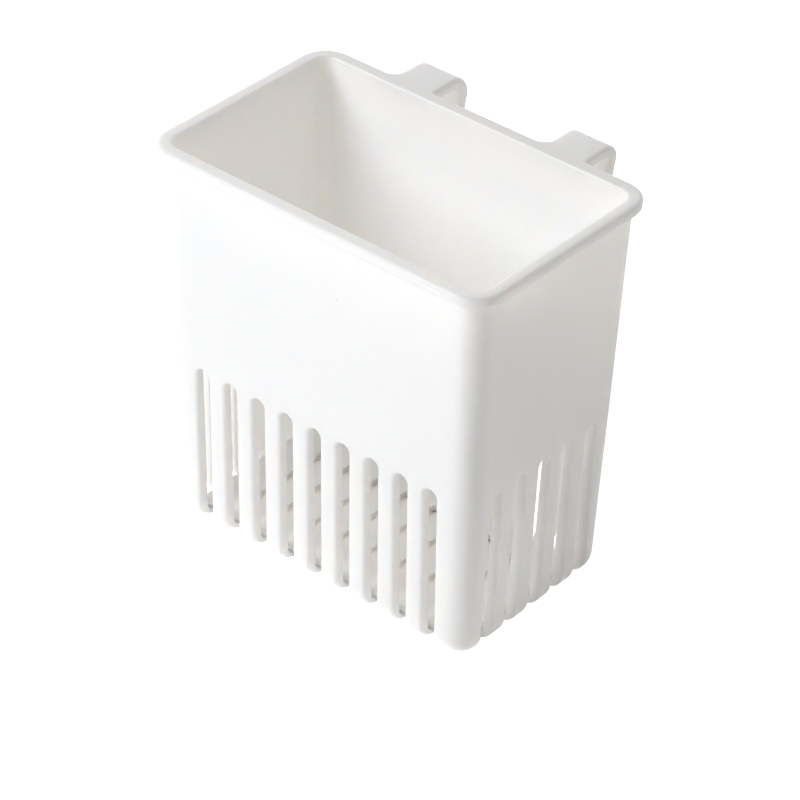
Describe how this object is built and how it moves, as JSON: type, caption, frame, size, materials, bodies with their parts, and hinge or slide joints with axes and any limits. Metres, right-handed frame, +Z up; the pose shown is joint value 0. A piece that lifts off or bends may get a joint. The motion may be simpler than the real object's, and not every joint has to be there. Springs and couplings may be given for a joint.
{
  "type": "hanging utensil basket",
  "caption": "Tall slotted plastic basket with a rolled rim, a lift-out slotted floor and hooks at the back that hang it on a rail or panel edge to drain utensils.",
  "frame": {"origin": "middle of the tub's underside, on the plane that it stands on", "axes": "+X along the front from left to right, +Y from the front to the hooks at the back, +Z up"},
  "size_m": [0.15, 0.1142, 0.1575],
  "materials": {
    "white_shell": "satin moulded polypropylene",
    "white_floor": "satin moulded polypropylene",
    "white_hooks": "satin moulded polypropylene"
  },
  "bodies": {
    "basket": {"basket_shell": "white_shell", "left_hook": "white_hooks", "right_hook": "white_hooks"},
    "floor": {"drain_floor": "white_floor"}
  },
  "joints": [
    {"name": "floor_lift", "type": "slide", "parent": "basket", "child": "floor", "axis": [0, 0, 1], "range_m": [0, 0.165]}
  ]
}
